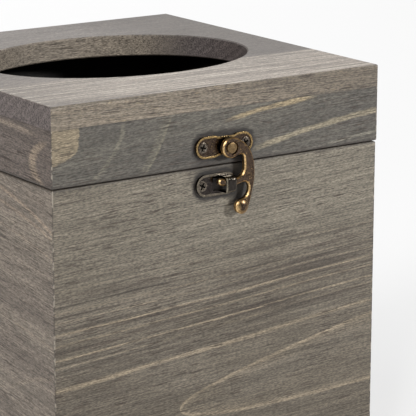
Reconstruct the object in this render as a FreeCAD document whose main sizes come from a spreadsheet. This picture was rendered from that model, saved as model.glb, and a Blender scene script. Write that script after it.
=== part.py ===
import FreeCAD, Part
import math
import os
import re

import Sketcher
from FreeCAD import Placement, Rotation, Vector

# A cube tissue box cover in grey stained pine. A mitred case has a tissue shelf and, below it,
# a shallow drawer. A mitred lid with an oval hole is hinged at the back and held shut at the
# front by a swinging hook latch. Millimetres, +Z up, front towards -Y, origin under the middle.

doc = FreeCAD.newDocument("TissueBoxCover")
sheet = doc.addObject("Spreadsheet::Sheet", "Sizes")

SIZES = [
    ("lid_width", 152, "lid across the front, and front to back"),
    ("total_height", 203, "table to lid top"),
    ("lid_height", 31, "top board and the rails under it"),
    ("lid_board", 9, "thickness of the lid's top board"),
    ("wall", 9, "thickness of the case panels and the lid rails"),
    ("case_inset", 0.3, "case face behind the lid's edge, all round"),
    ("seam_gap", 0.4, "gap between the case and the lid"),
    ("edge_ease", 0.6, "eased outer edges of the boards"),
    ("hole_length", 117, "oval hole, left to right"),
    ("hole_width", 88, "oval hole, front to back"),
    ("hole_bevel", 0.5, "slope on the rims of the oval hole"),
    ("base_board", 9, "thickness of the bottom board"),
    ("shelf_height", 51, "underside of the tissue shelf above the table"),
    ("shelf_board", 6, "thickness of the tissue shelf"),
    ("groove_depth", 3, "depth of the grooves for shelf and drawer bottom"),
    ("window_width", 116, "drawer opening in the front panel"),
    ("window_height", 39, "drawer opening, from the bottom board up"),
    ("drawer_gap", 0.75, "gap round the drawer front"),
    ("drawer_run", 0.3, "running gap under and behind the drawer"),
    ("drawer_front", 9, "thickness of the drawer front"),
    ("drawer_side", 6, "thickness of the drawer sides and back"),
    ("drawer_wall", 35, "height of the drawer sides"),
    ("drawer_floor", 3, "thickness of the drawer bottom"),
    ("floor_rise", 3.7, "drawer bottom above the lower edge of the sides"),
    ("guide_height", 12, "height of the drawer guides and stop"),
    ("guide_gap", 0.5, "side play of the drawer between its guides"),
    ("stop_width", 30, "width of the drawer stop"),
    ("stop_depth", 8, "depth of the drawer stop"),
    ("knob_radius", 6.5, "drawer knob, widest"),
    ("knob_reach", 13, "drawer knob, out from the drawer front"),
    ("knob_foot", 4.6, "radius of the knob's foot"),
    ("knob_foot_rise", 1.4, "thickness of the knob's foot"),
    ("knob_neck", 2.6, "radius of the knob's neck"),
    ("knob_face", 3.8, "radius of the flat on the knob's face"),
    ("knob_bore_depth", 7, "depth of the screw hole in the knob"),
    ("knob_screw_radius", 1.5, "shank of the knob screw"),
    ("knob_screw_head", 3, "radius of the knob screw's head"),
    ("knob_head_rise", 1.6, "height of the knob screw's head"),
    ("pivot_offset", 2.2, "latch pivot to the right of the front's middle"),
    ("pivot_rise", 6.8, "latch pivot above the lid's lower edge"),
    ("plate_thick", 1.0, "latch plates over their rims"),
    ("rim_width", 0.9, "raised rim of the latch plates"),
    ("rim_rise", 0.35, "height of that rim over the plate's face"),
    ("plate_lift", 0.7, "middle of the hook plate above the pivot"),
    ("plate_half", 4.35, "half the hook plate's height"),
    ("plate_left", 14.8, "hook plate's reach left of the pivot"),
    ("plate_right", 11.8, "hook plate's reach right of the pivot"),
    ("plate_screw_inset", 3.4, "hook plate screw in from the plate's end"),
    ("waist_half", 3.7, "half the hook plate's height at its waist"),
    ("left_lobe", 12.5, "length of the hook plate's left lobe"),
    ("right_lobe", 10.9, "length of the hook plate's right lobe"),
    ("screw_radius", 1.1, "shank of the latch screws"),
    ("screw_head", 2.05, "head of the latch screws"),
    ("screw_proud", 0.25, "latch screw head over the plate's face"),
    ("screw_sunk", 0.4, "latch screw head into the plate's face"),
    ("screw_length", 7, "latch screws into the wood"),
    ("rivet_radius", 1.5, "pivot rivet's shank"),
    ("rivet_shoulder", 2.0, "radius of the shoulder behind the hook"),
    ("rivet_head", 2.1, "radius of the rivet's head"),
    ("rivet_cap", 0.9, "thickness of the rivet's head"),
    ("pivot_play", 0.05, "radial running gap of the hook and the hinge pins"),
    ("side_play", 0.15, "gap on each face of the hook's eye"),
    ("hook_stand", 1.9, "back of the hook off the lid's face"),
    ("hook_thick", 1.9, "thickness of the hook"),
    ("hook_bevel", 0.5, "sloped front edges of the hook"),
    ("eye_radius", 4.1, "outside of the hook's eye"),
    ("eye_recess_radius", 2.9, "recess in the eye for the rivet head"),
    ("eye_recess_depth", 0.7, "depth of that recess"),
    ("arm_reach", 10.9, "hook's arm, furthest right of the pivot"),
    ("arm_width", 4.4, "width of the arm at its bend"),
    ("claw_radius", 13.7, "middle of the claw from the pivot"),
    ("claw_width", 2.6, "width of the claw"),
    ("claw_lead", 20, "angle by which the claw's tip passes the pivot's plumb line"),
    ("tail_width", 2.2, "width of the tail under the notch"),
    ("ball_offset", 5.2, "thumb ball right of the pivot"),
    ("ball_drop", 23.85, "thumb ball below the pivot"),
    ("ball_radius", 3, "thumb ball"),
    ("ball_dome", 0.7, "dome of the thumb ball over the hook's face"),
    ("catch_drop", 14.3, "middle of the catch plate below the pivot"),
    ("catch_half", 4.35, "half the catch plate's height"),
    ("catch_left", 14.3, "catch plate's reach left of the pivot"),
    ("catch_right", 4.1, "catch plate's reach right of the pivot"),
    ("catch_screw_inset", 2.9, "catch screw in from the plate's end"),
    ("bridge_width", 5.3, "pressed bridge, left to right"),
    ("bridge_half", 3.15, "half the bridge's height"),
    ("bridge_strap", 0.7, "thickness of the bridge"),
    ("bridge_offset", 0.3, "middle of the bridge left of the pivot"),
    ("bridge_round", 1.5, "rounded edges of the bridge's roof"),
    ("bridge_end", 1.8, "rounded right corners of the bridge, seen from the front"),
    ("claw_room", 0.3, "room for the claw under the bridge's roof"),
    ("catch_slot", 3.6, "slot in the catch plate left of the bridge"),
    ("hinge_spacing", 90, "between the middles of the two hinges"),
    ("hinge_width", 20, "length of a hinge along its pin"),
    ("leaf_reach", 9.5, "hinge leaf from the pin outwards"),
    ("leaf_thick", 1.0, "thickness of a hinge leaf"),
    ("barrel_radius", 1.6, "hinge barrel"),
    ("barrel_stand", 0.3, "hinge barrel off the lid's back face"),
    ("barrel_gap", 0.3, "gap between hinge knuckles"),
    ("hinge_pin", 0.8, "radius of the hinge pin"),
    ("hinge_screw_spread", 12, "between the two screws of a leaf"),
    ("hinge_screw_reach", 5.8, "hinge screws from the pin"),
    ("hinge_screw_radius", 0.9, "shank of the hinge screws"),
    ("hinge_screw_head", 1.7, "head of the hinge screws"),
    ("hinge_screw_proud", 0.3, "hinge screw head over the leaf"),
    ("hinge_screw_length", 6, "hinge screws into the wood"),
]

for row, (alias, number, note) in enumerate(SIZES, start=1):
    sheet.set("A%d" % row, note)
    sheet.set("B%d" % row, str(number))
    sheet.setAlias("B%d" % row, alias)
doc.recompute()

NAMES = {alias for alias, number, note in SIZES}

# Places that several pieces share, written in the sheet's names.
LID_HALF = "(lid_width / 2)"
CASE_HALF = "(lid_width / 2 - case_inset)"
CASE_ROOM = "(lid_width / 2 - case_inset - wall)"
LID_FOOT = "(total_height - lid_height)"
CASE_TOP = "(total_height - lid_height - seam_gap)"
PIVOT_Z = "(total_height - lid_height + pivot_rise)"
CATCH_Z = "(total_height - lid_height + pivot_rise - catch_drop)"
PLATE_FACE = "(plate_thick - rim_rise)"
HOOK_FRONT = "(hook_stand + hook_thick)"
PIN_Y = "(lid_width / 2 + barrel_stand + barrel_radius)"
PIN_Z = "(total_height - lid_height - seam_gap / 2)"
KNUCKLE = "((hinge_width - 2 * barrel_gap) / 3)"
DRAWER_HALF = "(window_width / 2 - drawer_gap)"
DRAWER_FOOT = "(base_board + drawer_run)"
DRAWER_REAR = "(lid_width / 2 - case_inset - wall - stop_depth - drawer_run)"
DRAWER_TOP = "(base_board + drawer_run + drawer_wall)"
FLOOR_Z = "(base_board + drawer_run + floor_rise)"
KNOB_Z = "(base_board + window_height / 2)"

FORWARD = Rotation(Vector(1, 0, 0), 90)
BACKWARD = Rotation(Vector(1, 0, 0), -90)
ALONG_X = Rotation(Vector(0, 1, 0), 90)

pieces = []


def full(text):
    """The expression with every size's name led by the sheet's."""
    return re.sub(r"[a-z_]+", lambda word: "Sizes." + word[0] if word[0] in NAMES else word[0], text)


def at(text):
    """The number that an expression in the sheet's names gives now."""
    return float(sheet.evalExpression(text))


def bind(thing, **sizes):
    for name, text in sizes.items():
        thing.setExpression(name, full(text))


def place(thing, x="0", y="0", z="0", turn=None):
    if turn is not None:
        thing.Placement = Placement(Vector(0, 0, 0), turn)
    thing.setExpression(".Placement.Base.x", full(x))
    thing.setExpression(".Placement.Base.y", full(y))
    thing.setExpression(".Placement.Base.z", full(z))
    return thing


def box(x0, x1, y0, y1, z0, z1):
    """A block between six planes."""
    block = doc.addObject("Part::Box", "Block")
    bind(block, Length="%s - (%s)" % (x1, x0), Width="%s - (%s)" % (y1, y0), Height="%s - (%s)" % (z1, z0))
    return place(block, x0, y0, z0)


def rod(radius, length, x, y, z, turn):
    """A round bar that starts at a point and runs the way turn sends +Z."""
    bar = doc.addObject("Part::Cylinder", "Rod")
    bind(bar, Radius=radius, Height=length)
    return place(bar, x, y, z, turn)


def peg(radius, length, x, y, z, turn):
    """An eight-sided bar, for the shanks and holes of screws that stay out of sight."""
    bar = doc.addObject("Part::Prism", "Peg")
    bar.Polygon = 8
    bind(bar, Circumradius=radius, Height=length)
    return place(bar, x, y, z, turn)


def cut(solid, *tools):
    for tool in tools:
        result = doc.addObject("Part::Cut", "Cut")
        result.Base = solid
        result.Tool = tool
        solid = result
    return solid


def fuse(*solids):
    joined = doc.addObject("Part::MultiFuse", "Joined")
    joined.Shapes = list(solids)
    joined.Refine = True
    return joined


def rounded(solid, radius, wanted):
    """The solid with a radius on each edge for which wanted(edge) is true."""
    doc.recompute()
    result = doc.addObject("Part::Fillet", "Rounded")
    result.Base = solid
    size = at(radius)
    edges = [n for n, edge in enumerate(solid.Shape.Edges, start=1) if wanted(edge)]
    result.Edges = [(n, size, size) for n in edges]
    return result


def middle(edge):
    return edge.valueAt((edge.FirstParameter + edge.LastParameter) / 2)


def near(a, b):
    return abs(a - b) < 1e-4


def lies_at(edge, axis, level):
    """True where the whole edge lies at one level along an axis."""
    box_of = edge.BoundBox
    return near(getattr(box_of, axis + "Min"), level) and near(getattr(box_of, axis + "Max"), level)


def keep(label, thing):
    thing.Label = label
    pieces.append(thing)
    return thing


def new_body(label):
    body = doc.addObject("PartDesign::Body", label)
    return keep(label, body)


def new_sketch(body, role, lift="0"):
    """A sketch on one of the body's own origin planes, lifted off it along its normal."""
    sketch = body.newObject("Sketcher::SketchObject", "Sketch")
    plane = next(part for part in body.Origin.OriginFeatures if part.Role == role)
    sketch.AttachmentSupport = [(plane, "")]
    sketch.MapMode = "FlatFace"
    sketch.setExpression(".AttachmentOffset.Base.z", full(lift))
    return sketch


def draw(sketch, corners):
    """A closed outline of straight sides, each corner a pair of bound expressions."""
    points = [Vector(at(x), at(y), 0) for x, y in corners]
    count = len(points)
    for i, point in enumerate(points):
        sketch.addGeometry(Part.LineSegment(point, points[(i + 1) % count]))
    for i in range(count):
        sketch.addConstraint(Sketcher.Constraint("Coincident", i, 2, (i + 1) % count, 1))
    for i, (x, y) in enumerate(corners):
        for kind, text in (("DistanceX", x), ("DistanceY", y)):
            number = sketch.addConstraint(Sketcher.Constraint(kind, i, 1, at(text)))
            sketch.setExpression("Constraints[%d]" % number, full(text))


def draw_circle(sketch, radius):
    sketch.addGeometry(Part.Circle(Vector(0, 0, 0), Vector(0, 0, 1), at(radius)))
    sketch.addConstraint(Sketcher.Constraint("Coincident", 0, 3, -1, 1))
    number = sketch.addConstraint(Sketcher.Constraint("Radius", 0, at(radius)))
    sketch.setExpression("Constraints[%d]" % number, full(radius))


def pad(body, sketch, length):
    feature = body.newObject("PartDesign::Pad", "Pad")
    feature.Profile = sketch
    bind(feature, Length=length)
    body.Tip = feature
    return feature


def pocket(body, sketch, depth, reverse=False):
    before = body.Tip
    feature = body.newObject("PartDesign::Pocket", "Pocket")
    feature.Profile = sketch
    feature.Reversed = reverse
    bind(feature, Length=depth)
    body.Tip = feature
    doc.recompute()
    if feature.Shape.Volume > before.Shape.Volume - 1e-6:
        raise RuntimeError("a pocket in %s cuts nothing" % body.Label)
    return feature


def spin(body, sketch):
    """A full turn of a half outline about the sketch's vertical axis."""
    feature = body.newObject("PartDesign::Revolution", "Revolution")
    feature.Profile = sketch
    feature.ReferenceAxis = (sketch, ["V_Axis"])
    feature.Angle = 360
    body.Tip = feature
    return feature


def ease(body, radius, wanted):
    """Rounds the edges of the body's newest feature for which wanted(edge) is true."""
    doc.recompute()
    base = body.Tip
    names = ["Edge%d" % n for n, edge in enumerate(base.Shape.Edges, start=1) if wanted(edge)]
    feature = body.newObject("PartDesign::Fillet", "Fillet")
    feature.Base = (base, names)
    bind(feature, Radius=radius)
    body.Tip = feature
    return feature


def bevel(body, size, wanted):
    """Cuts a narrow slope along the edges of the body's newest feature that are wanted."""
    doc.recompute()
    base = body.Tip
    names = ["Edge%d" % n for n, edge in enumerate(base.Shape.Edges, start=1) if wanted(edge)]
    feature = body.newObject("PartDesign::Chamfer", "Chamfer")
    feature.Base = (base, names)
    bind(feature, Size=size)
    body.Tip = feature
    return feature


# Mitred boards. Each is drawn lying along X with its outer face on y = 0, then turned to its side.

SIDES = {
    "front": (Rotation(Vector(0, 0, 1), 0), "0", "-1"),
    "back": (Rotation(Vector(0, 0, 1), 180), "0", "1"),
    "left": (Rotation(Vector(0, 0, 1), -90), "-1", "0"),
    "right": (Rotation(Vector(0, 0, 1), 90), "1", "0"),
}


def mitred_board(half, height):
    board = doc.addObject("Part::Wedge", "Board")
    bind(board, Xmin="-" + half, Xmax=half, X2min="wall - " + half, X2max=half + " - wall")
    bind(board, Ymin="0", Ymax="wall")
    bind(board, Zmin="0", Zmax=height, Z2min="0", Z2max=height)
    return board


def stand(board, side, half, z):
    turn, x_way, y_way = SIDES[side]
    return place(board, x_way + " * " + half, y_way + " * " + half, z, turn)


def case_panel(side):
    panel = mitred_board(CASE_HALF, CASE_TOP)
    top = at(CASE_TOP)
    panel = rounded(panel, "edge_ease", lambda e: lies_at(e, "Y", 0) and lies_at(e, "Z", top))
    groove = box(
        "-" + CASE_HALF, CASE_HALF,
        "wall - groove_depth", "wall + groove_depth",
        "shelf_height", "shelf_height + shelf_board",
    )
    panel = cut(panel, groove)
    if side == "front":
        window = box(
            "-window_width / 2", "window_width / 2",
            "-wall", "2 * wall",
            "base_board", "base_board + window_height",
        )
        panel = cut(panel, window, catch_screw_hole())
    if side == "back":
        panel = cut(panel, *leaf_screw_holes("case"))
    keep("case_%s_panel" % side, panel)
    return stand(panel, side, CASE_HALF, "0")


def lid_rail(side):
    rail = mitred_board(LID_HALF, "(lid_height - lid_board)")
    rail = rounded(rail, "edge_ease", lambda e: lies_at(e, "Y", 0) and lies_at(e, "Z", 0))
    if side == "front":
        rail = cut(rail, *plate_screw_holes())
        rail = cut(rail, rod("rivet_radius", "wall", "pivot_offset", "0", "pivot_rise", BACKWARD))
    if side == "back":
        rail = cut(rail, *leaf_screw_holes("lid"))
    keep("lid_%s_rail" % side, rail)
    return stand(rail, side, LID_HALF, LID_FOOT)


# Screw holes, drawn in the lying board's own frame, whose outer face is y = 0.

def plate_screw_holes():
    places = ("pivot_offset - plate_left + plate_screw_inset", "pivot_offset + plate_right - plate_screw_inset")
    return [rod("screw_radius", "screw_length", x, "0", "pivot_rise + plate_lift", BACKWARD) for x in places]


def catch_screw_hole():
    x = "pivot_offset - catch_left + catch_screw_inset"
    return rod("screw_radius", "screw_length", x, "0", CATCH_Z, BACKWARD)


def leaf_screw_holes(leaf):
    """The back boards are turned by half a turn, so the pattern's own symmetry serves."""
    if leaf == "case":
        z = PIN_Z + " - hinge_screw_reach"
    else:
        z = PIN_Z + " + hinge_screw_reach - " + LID_FOOT
    holes = []
    for hinge in ("-", "+"):
        for screw in ("-", "+"):
            x = "%s hinge_spacing / 2 %s hinge_screw_spread / 2" % (hinge, screw)
            holes.append(peg("hinge_screw_radius", "hinge_screw_length", x, "0", z, BACKWARD))
    return holes


# Case: four mitred panels, the bottom board between them and the tissue shelf in their grooves.

for side in SIDES:
    case_panel(side)

keep("base_board", box("-" + CASE_ROOM, CASE_ROOM, "-" + CASE_ROOM, CASE_ROOM, "0", "base_board"))

SHELF_HALF = "(lid_width / 2 - case_inset - wall + groove_depth)"
shelf = box(
    "-" + SHELF_HALF, SHELF_HALF,
    "-" + SHELF_HALF, SHELF_HALF,
    "shelf_height", "shelf_height + shelf_board",
)
keep("tissue_shelf", shelf)


# Drawer guides beside the drawer and a stop behind it, all on the bottom board.

GUIDE_IN = "(window_width / 2 - drawer_gap + guide_gap)"
GUIDE_TOP = "base_board + guide_height"
keep("drawer_guide_left", box("-" + CASE_ROOM, "-" + GUIDE_IN, "-" + CASE_ROOM, CASE_ROOM, "base_board", GUIDE_TOP))
keep("drawer_guide_right", box(GUIDE_IN, CASE_ROOM, "-" + CASE_ROOM, CASE_ROOM, "base_board", GUIDE_TOP))
stop = box("-stop_width / 2", "stop_width / 2", CASE_ROOM + " - stop_depth", CASE_ROOM, "base_board", GUIDE_TOP)
keep("drawer_stop", stop)


# Drawer: an inset front, two sides, a back that stands on the bottom, and the bottom in grooves.

DRAWER_FACE = "(-" + CASE_HALF + ")"
FRONT_BACK = "(drawer_front - " + CASE_HALF + ")"
FLOOR_TOP = "(" + FLOOR_Z + " + drawer_floor)"
FLOOR_HALF = "(" + DRAWER_HALF + " - drawer_side + groove_depth)"
BACK_HALF = "(" + DRAWER_HALF + " - drawer_side)"

front_blank = box(
    "-" + DRAWER_HALF, DRAWER_HALF,
    DRAWER_FACE, FRONT_BACK,
    "base_board + drawer_gap", "base_board + window_height - drawer_gap",
)
face_level = at(DRAWER_FACE)
front_blank = rounded(front_blank, "edge_ease", lambda e: lies_at(e, "Y", face_level))
floor_groove = box(
    "-" + FLOOR_HALF, FLOOR_HALF,
    FRONT_BACK + " - groove_depth", FRONT_BACK + " + groove_depth",
    FLOOR_Z, FLOOR_TOP,
)
knob_hole = rod("knob_screw_radius", "3 * drawer_front", "0", FRONT_BACK + " + drawer_front", KNOB_Z, FORWARD)
keep("drawer_front", cut(front_blank, floor_groove, knob_hole))

for label, way in (("drawer_left_side", -1), ("drawer_right_side", 1)):
    spans = [BACK_HALF, DRAWER_HALF]
    slots = [BACK_HALF, FLOOR_HALF]
    if way < 0:
        spans = ["-" + spans[1], "-" + spans[0]]
        slots = ["-" + slots[1], "-" + slots[0]]
    side_board = box(spans[0], spans[1], FRONT_BACK, DRAWER_REAR, DRAWER_FOOT, DRAWER_TOP)
    side_groove = box(slots[0], slots[1], FRONT_BACK, DRAWER_REAR, FLOOR_Z, FLOOR_TOP)
    keep(label, cut(side_board, side_groove))

back_board = box("-" + BACK_HALF, BACK_HALF, DRAWER_REAR + " - drawer_side", DRAWER_REAR, FLOOR_TOP, DRAWER_TOP)
keep("drawer_back", back_board)
floor_board = box("-" + FLOOR_HALF, FLOOR_HALF, FRONT_BACK + " - groove_depth", DRAWER_REAR, FLOOR_Z, FLOOR_TOP)
keep("drawer_bottom", floor_board)


# Drawer knob, turned about its own axis, and the screw that holds it from inside.

knob = new_body("drawer_knob")
KNOB_BELLY = "knob_reach * 0.62"
knob_outline = [
    ("knob_screw_radius", "0"),
    ("knob_foot", "0"),
    ("knob_foot", "knob_foot_rise"),
    ("knob_neck", "knob_foot_rise * 1.6"),
    ("knob_neck", "knob_reach * 0.42"),
    ("knob_radius", KNOB_BELLY),
    ("knob_radius * 0.97", "knob_reach * 0.78"),
    ("knob_face", "knob_reach"),
    ("0", "knob_reach"),
    ("0", "knob_bore_depth"),
    ("knob_screw_radius", "knob_bore_depth"),
]
knob_sketch = new_sketch(knob, "XZ_Plane")
draw(knob_sketch, knob_outline)
spin(knob, knob_sketch)
place(knob, "0", DRAWER_FACE, KNOB_Z, FORWARD)

knob_screw = new_body("drawer_knob_screw")
screw_outline = [
    ("0", "-knob_head_rise"),
    ("knob_screw_head * 0.75", "-knob_head_rise"),
    ("knob_screw_head", "-knob_head_rise / 2"),
    ("knob_screw_head", "0"),
    ("knob_screw_radius", "0"),
    ("knob_screw_radius", "drawer_front + knob_bore_depth"),
    ("0", "drawer_front + knob_bore_depth"),
]
knob_screw_sketch = new_sketch(knob_screw, "XZ_Plane")
draw(knob_screw_sketch, screw_outline)
spin(knob_screw, knob_screw_sketch)
place(knob_screw, "0", FRONT_BACK, KNOB_Z, FORWARD)


# Lid: a top board laid over four mitred rails, with its oval hole cut through it.

top_board = new_body("lid_top_board")
board_sketch = new_sketch(top_board, "XY_Plane")
board_corners = [
    ("-" + LID_HALF, "-" + LID_HALF),
    (LID_HALF, "-" + LID_HALF),
    (LID_HALF, LID_HALF),
    ("-" + LID_HALF, LID_HALF),
]
draw(board_sketch, board_corners)
pad(top_board, board_sketch, "lid_board")
hole_sketch = new_sketch(top_board, "XY_Plane", "lid_board")
oval = Part.Ellipse(Vector(0, 0, 0), at("hole_length / 2"), at("hole_width / 2"))
hole_sketch.addGeometry(oval)
hole_sketch.exposeInternalGeometry(0)
hole_sketch.addConstraint(Sketcher.Constraint("Coincident", 0, 3, -1, 1))
hole_sketch.addConstraint(Sketcher.Constraint("Horizontal", 1))
for line, size in ((1, "hole_length"), (2, "hole_width")):
    number = hole_sketch.addConstraint(Sketcher.Constraint("Distance", line, at(size)))
    hole_sketch.setExpression("Constraints[%d]" % number, full(size))
pocket(top_board, hole_sketch, "lid_board")
board_face = at("lid_board")
bevel(top_board, "hole_bevel", lambda e: e.Closed and (lies_at(e, "Z", 0) or lies_at(e, "Z", board_face)))
ease(top_board, "edge_ease", lambda e: not e.Closed and lies_at(e, "Z", board_face) and e.Length > board_face)
place(top_board, "0", "0", "total_height - lid_board")

for side in SIDES:
    lid_rail(side)


# Latch plates. The hook plate on the lid has two long lobes and a narrower waist by the hook's eye;
# the catch plate on the case is one long lobe. Both have a raised rim. Here x runs from the
# pivot to the right, z from the pivot up, and depth is measured forwards from the lid's face.

PIVOT_FACE = ("pivot_offset", "-" + LID_HALF, PIVOT_Z)


def slab(x0, x1, z0, z1, d0, d1):
    return box(x0, x1, "-(%s)" % d1, "-(%s)" % d0, z0, z1)


def disc(x, z, radius, d0, d1):
    return rod(radius, "%s - (%s)" % (d1, d0), x, "-(%s)" % d0, z, FORWARD)


def lobe(left, right, z, half, d0, d1):
    """A long plate with two round ends."""
    return fuse(
        slab("%s + %s" % (left, half), "%s - %s" % (right, half), "%s - %s" % (z, half), "%s + %s" % (z, half), d0, d1),
        disc("%s + %s" % (left, half), z, half, d0, d1),
        disc("%s - %s" % (right, half), z, half, d0, d1),
    )


def waisted(inset, d0, d1):
    """The hook plate's form, drawn in by inset all round: two long lobes and a waist."""
    half = "(plate_half - %s)" % inset
    slim = "(waist_half - %s)" % inset
    return fuse(
        lobe("(%s - plate_left)" % inset, "(left_lobe - plate_left - %s)" % inset, "plate_lift", half, d0, d1),
        slab("-plate_left / 2", "plate_right / 2", "plate_lift - " + slim, "plate_lift + " + slim, d0, d1),
        lobe("(plate_right - right_lobe + %s)" % inset, "(plate_right - %s)" % inset, "plate_lift", half, d0, d1),
    )


PLATE_SCREWS = ("plate_screw_inset - plate_left", "plate_right - plate_screw_inset")
HEAD_SEAT = PLATE_FACE + " - screw_sunk"

hook_plate = cut(
    waisted("0", "0", "plate_thick"),
    waisted("rim_width", PLATE_FACE, "plate_thick + rim_rise"),
    disc("0", "0", "rivet_radius", "-plate_thick", "2 * plate_thick"),
    *[disc(x, "plate_lift", "screw_radius", "-plate_thick", "2 * plate_thick") for x in PLATE_SCREWS],
    *[disc(x, "plate_lift", "screw_head", HEAD_SEAT, "2 * plate_thick") for x in PLATE_SCREWS],
)
keep("hook_plate", hook_plate)
place(hook_plate, *PIVOT_FACE)


def latch_screw(x, z, face):
    """A screw whose head is sunk a little into a plate that lies on the given depth."""
    seat = "%s + %s" % (face, HEAD_SEAT)
    shank = disc(x, z, "screw_radius", "%s - screw_length" % face, seat)
    head = disc(x, z, "screw_head", seat, "%s + %s + screw_proud" % (face, PLATE_FACE))
    return fuse(shank, head)


plate_screws = doc.addObject("Part::Compound", "Screws")
plate_screws.Links = [latch_screw(x, "plate_lift", "0") for x in PLATE_SCREWS]
keep("hook_plate_screws", plate_screws)
place(plate_screws, *PIVOT_FACE)

CATCH_FACE = "(-case_inset)"
CATCH_FRONT = "(plate_thick - case_inset)"
ROOF_IN = "(" + HOOK_FRONT + " + claw_room)"
ROOF_OUT = "(" + HOOK_FRONT + " + claw_room + bridge_strap)"
BRIDGE_LEFT = "(-bridge_offset - bridge_width / 2)"
BRIDGE_RIGHT = "(bridge_width / 2 - bridge_offset)"
MIDDLE_Z = "(-catch_drop)"
CATCH_SCREW = "(catch_screw_inset - catch_left)"


def bridge():
    """The pressed strap that the claw slides under, open at its left and right."""
    roof = at(ROOF_OUT)
    shell = slab(BRIDGE_LEFT, BRIDGE_RIGHT, MIDDLE_Z + " - bridge_half", MIDDLE_Z + " + bridge_half", CATCH_FACE, ROOF_OUT)
    right = at(BRIDGE_RIGHT)
    shell = rounded(shell, "bridge_end", lambda e: lies_at(e, "X", right) and near(e.BoundBox.ZLength, 0))
    shell = rounded(shell, "bridge_round", lambda e: lies_at(e, "Y", -roof))
    hollow = slab(
        BRIDGE_LEFT + " - bridge_width", BRIDGE_RIGHT + " + bridge_width",
        MIDDLE_Z + " - bridge_half + bridge_strap", MIDDLE_Z + " + bridge_half - bridge_strap",
        CATCH_FACE + " - bridge_strap", ROOF_IN,
    )
    ceiling = at(ROOF_IN)
    along = lambda e: lies_at(e, "Y", -ceiling) and not near(e.BoundBox.XLength, 0)
    return cut(shell, rounded(hollow, "bridge_round - bridge_strap", along))


def catch_window():
    return slab(
        BRIDGE_LEFT + " - catch_slot", BRIDGE_RIGHT,
        MIDDLE_Z + " - bridge_half + bridge_strap", MIDDLE_Z + " + bridge_half - bridge_strap",
        CATCH_FACE + " - bridge_strap", CATCH_FRONT + " + rim_rise",
    )


catch_blank = cut(
    lobe("(-catch_left)", "catch_right", MIDDLE_Z, "catch_half", CATCH_FACE, CATCH_FRONT),
    lobe(
        "(rim_width - catch_left)", "(catch_right - rim_width)", MIDDLE_Z, "(catch_half - rim_width)",
        CATCH_FRONT + " - rim_rise", CATCH_FRONT + " + rim_rise",
    ),
    disc(CATCH_SCREW, MIDDLE_Z, "screw_radius", CATCH_FACE + " - plate_thick", CATCH_FRONT),
    disc(CATCH_SCREW, MIDDLE_Z, "screw_head", CATCH_FACE + " + " + HEAD_SEAT, CATCH_FRONT),
)
catch_plate = fuse(cut(catch_blank, catch_window()), bridge())
keep("catch_plate", catch_plate)
place(catch_plate, *PIVOT_FACE)

catch_screw = latch_screw(CATCH_SCREW, MIDDLE_Z, CATCH_FACE)
keep("catch_screw", catch_screw)
place(catch_screw, *PIVOT_FACE)


# Pivot rivet: a shoulder on the plate, the shank that the hook turns on, and a head in the eye's recess.

HEAD_BACK = "(" + HOOK_FRONT + " - eye_recess_depth + side_play)"
rivet = fuse(
    disc("0", "0", "rivet_radius", "-wall", HEAD_BACK),
    disc("0", "0", "rivet_shoulder", PLATE_FACE, "hook_stand - side_play"),
    disc("0", "0", "rivet_head", HEAD_BACK, HEAD_BACK + " + rivet_cap"),
)
keep("pivot_rivet", rivet)
place(rivet, *PIVOT_FACE)


# Swing hook: an eye, an arm that bends out and down, a claw that follows a circle about the pivot
# so that it slides through the bridge, and a tail that curls round to a domed thumb ball.

def polar(radius, degrees):
    return (radius * math.cos(math.radians(degrees)), radius * math.sin(math.radians(degrees)))


class SmoothOutline:
    """Arcs laid end to end. Each leaves in the direction, in degrees, in which the last arrived."""

    def __init__(self, start, heading):
        self.here = start
        self.heading = heading
        self.arcs = []

    def to(self, x, z):
        across, up = x - self.here[0], z - self.here[1]
        chord = math.degrees(math.atan2(up, across))
        half_turn = (chord - self.heading + 180) % 360 - 180
        bulge = math.tan(math.radians(half_turn) / 2) / 2
        through = (self.here[0] + across / 2 + bulge * up, self.here[1] + up / 2 - bulge * across)
        self.arcs.append(Part.Arc(Vector(*self.here, 0), Vector(*through, 0), Vector(x, z, 0)))
        self.here = (x, z)
        self.heading = chord + half_turn

    def onto(self, x, z, radius):
        """An arc that runs smoothly onto a circle about (x, z), to follow it clockwise."""
        across, up = self.here[0] - x, self.here[1] - z
        left = (-math.sin(math.radians(self.heading)), math.cos(math.radians(self.heading)))
        own = (across ** 2 + up ** 2 - radius ** 2) / 2 / (radius - across * left[0] - up * left[1])
        share = radius / (own + radius)
        self.to(x + share * (across + own * left[0]), z + share * (up + own * left[1]))


def hook_outline():
    """Clockwise from the eye's left: eye, arm, thumb ball, tail, notch, claw and arm again."""
    eye = at("eye_radius")
    claw = at("claw_radius")
    claw_in = claw - at("claw_width") / 2
    claw_out = claw + at("claw_width") / 2
    tip = -90 - at("claw_lead")
    outside = at("arm_reach") * 0.955
    inside = at("arm_reach") - at("arm_width")
    ball = at("ball_radius")
    ball_x, ball_z = at("ball_offset"), -at("ball_drop")
    tail_x = outside - at("tail_width")
    tail_z = -claw_out - at("tail_width") / 2

    path = SmoothOutline((-eye, 0), 90)
    path.to(*polar(eye, 75))
    path.to(outside, -claw * 0.42)
    path.to(outside, tail_z)
    path.onto(ball_x, ball_z, ball)
    for degrees in (-130, 98):
        across, up = polar(ball, degrees)
        path.to(ball_x + across, ball_z + up)
    path.to(tail_x, tail_z)
    path.onto(0, 0, claw_out)
    path.to(*polar(claw_out, tip))
    path.to(*polar(claw_in, tip))
    path.to(*polar(claw_in, -73))
    path.to(inside * 0.95, -claw * 0.62)
    path.to(inside * 0.93, -claw * 0.335)
    path.to(inside * 0.55, -claw * 0.23)
    path.onto(0, 0, eye)
    path.to(-eye, 0)
    return path.arcs


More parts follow.
